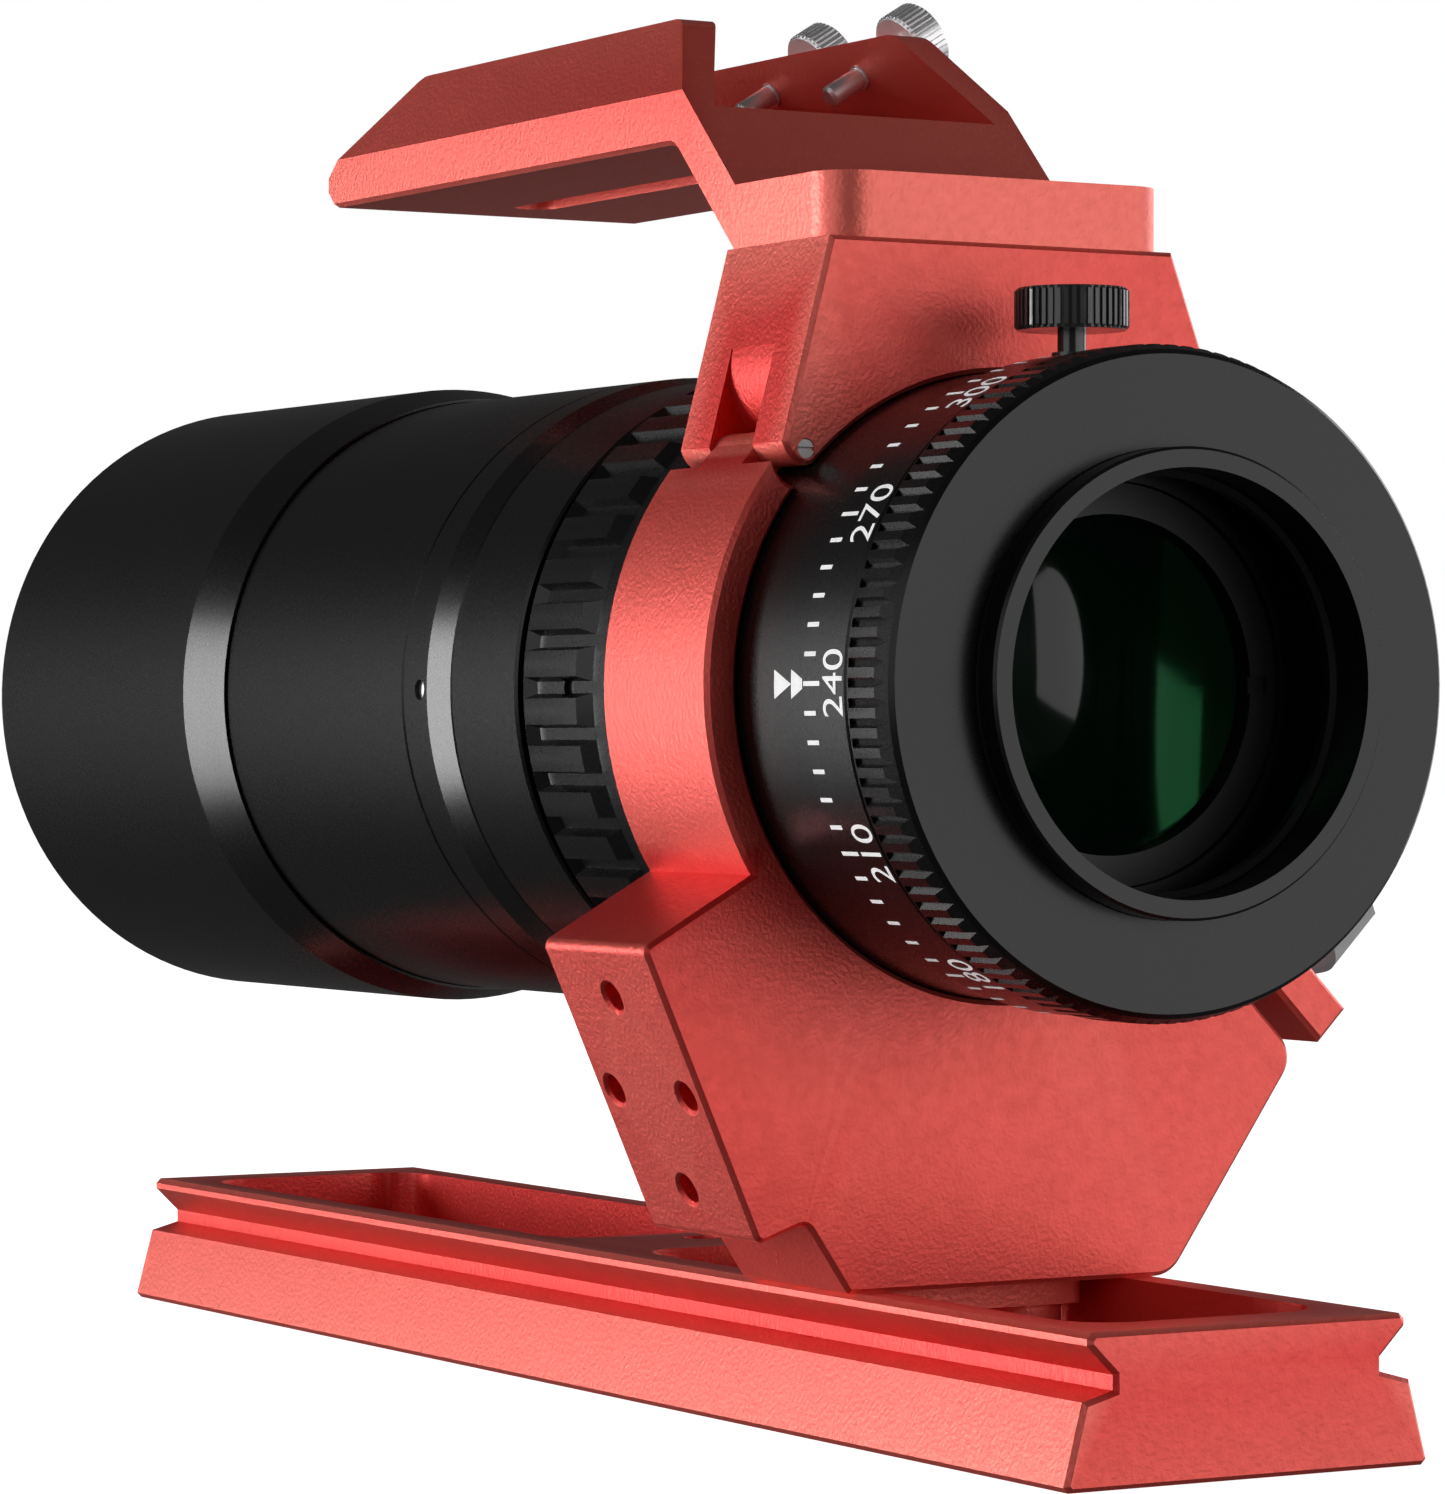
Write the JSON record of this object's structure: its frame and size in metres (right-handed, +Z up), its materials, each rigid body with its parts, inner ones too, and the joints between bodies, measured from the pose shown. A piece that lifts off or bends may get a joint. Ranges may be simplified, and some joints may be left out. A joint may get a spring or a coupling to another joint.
{
  "type": "astrograph lens in a hinged mounting ring",
  "caption": "Short black astrograph lens in a red hinged clamp ring on a dovetail bar, with an offset accessory saddle on top and a rotating camera ring at the rear.",
  "frame": {"origin": "centre of the dovetail bar's bottom face", "axes": "+X right, +Y along the tube towards the objective, +Z up"},
  "size_m": [0.0974, 0.2264, 0.1586],
  "materials": {
    "red_anodised": "bead blasted, red anodised",
    "black_anodised": "fine textured, black anodised",
    "black_inside": "matt black inside parts",
    "black_gloss": "smooth glossy black",
    "silver": "clear anodised, satin",
    "screw_steel": "plain bright steel",
    "black_screw": "blackened steel",
    "brass_insert": "machined brass",
    "bearing_pad": "plain acetal",
    "lens_glass": "green coated optical glass",
    "white_print": "white printed scale marks",
    "felt": "black felt"
  },
  "bodies": {
    "rig": {"dovetail_bar": "red_anodised", "cradle_screws": "screw_steel", "spacer_posts": "red_anodised", "foot_key": "red_anodised", "lower_cradle": "red_anodised", "cradle_pads": "bearing_pad", "clamp_insert": "brass_insert", "hinge_pin": "screw_steel"},
    "cap": {"upper_cap": "red_anodised", "cap_pads": "bearing_pad", "top_bracket": "red_anodised", "bracket_screws": "black_screw"},
    "clamp": {"clamp_washer": "bearing_pad", "clamp_bolt": "screw_steel", "clamp_knob": "silver"},
    "jaw_rear": {"jaw_stud_rear": "screw_steel", "jaw_knob_rear": "silver"},
    "jaw_front": {"jaw_stud_front": "screw_steel", "jaw_knob_front": "silver"},
    "barrel": {"rear_sleeve": "black_anodised", "main_tube": "black_anodised", "body_set_screws": "screw_steel", "tube_baffles": "black_inside", "rear_cell": "black_inside", "rear_lens": "lens_glass", "rear_retainer": "black_inside", "front_cell": "black_inside", "objective_rear": "lens_glass", "objective_middle": "lens_glass", "objective_front": "lens_glass", "objective_spacers": "brass_insert", "objective_retainer": "black_inside"},
    "focus": {"focus_ring": "black_anodised", "focus_set_screws": "black_screw"},
    "focus_group": {"focus_cell": "black_inside", "guide_pins": "screw_steel", "focus_lens": "lens_glass", "focus_retainer": "black_inside"},
    "rotator": {"rotator_ring": "black_anodised", "rotator_clip": "screw_steel", "m48_adapter": "black_anodised"},
    "lock": {"lock_stud": "black_gloss", "lock_knob": "black_gloss"},
    "shield": {"dew_shield": "black_anodised", "shield_felt": "felt"}
  },
  "joints": [
    {"name": "cap_hinge", "type": "hinge", "parent": "rig", "child": "cap", "pos_m": [-0.02496, -0.055, 0.10343], "axis": [0, -1, 0], "range_deg": [0, 75]},
    {"name": "clamp_screw", "type": "slide", "parent": "cap", "child": "clamp", "axis": [0.7071, 0, 0.7071], "range_m": [0, 0.012]},
    {"name": "jaw_screw_rear", "type": "slide", "parent": "cap", "child": "jaw_rear", "axis": [0.854, 0, 0.5202], "range_m": [-0.0023, 0.007]},
    {"name": "jaw_screw_front", "type": "slide", "parent": "cap", "child": "jaw_front", "axis": [0.854, 0, 0.5202], "range_m": [-0.0023, 0.007]},
    {"name": "barrel_roll", "type": "hinge", "parent": "rig", "child": "barrel", "pos_m": [0, -0.055, 0.0789], "axis": [0, 1, 0], "continuous": true},
    {"name": "focus_turn", "type": "hinge", "parent": "barrel", "child": "focus", "pos_m": [0, -0.033, 0.0789], "axis": [0, 1, 0], "range_deg": [-120, 120]},
    {"name": "focus_travel", "type": "slide", "parent": "barrel", "child": "focus_group", "axis": [0, 1, 0], "range_m": [-0.002, 0.002]},
    {"name": "rotator_turn", "type": "hinge", "parent": "barrel", "child": "rotator", "pos_m": [0, -0.085, 0.0789], "axis": [0, 1, 0], "continuous": true},
    {"name": "lock_screw", "type": "slide", "parent": "barrel", "child": "lock", "axis": [0, 0, 1], "range_m": [0, 0.003]},
    {"name": "shield_slide", "type": "slide", "parent": "barrel", "child": "shield", "axis": [0, -1, 0], "range_m": [0, 0.044]}
  ],
  "couplings": [
    {"joint": "focus_travel", "follows": "focus_turn", "m_per_rad": 0.00095}
  ]
}
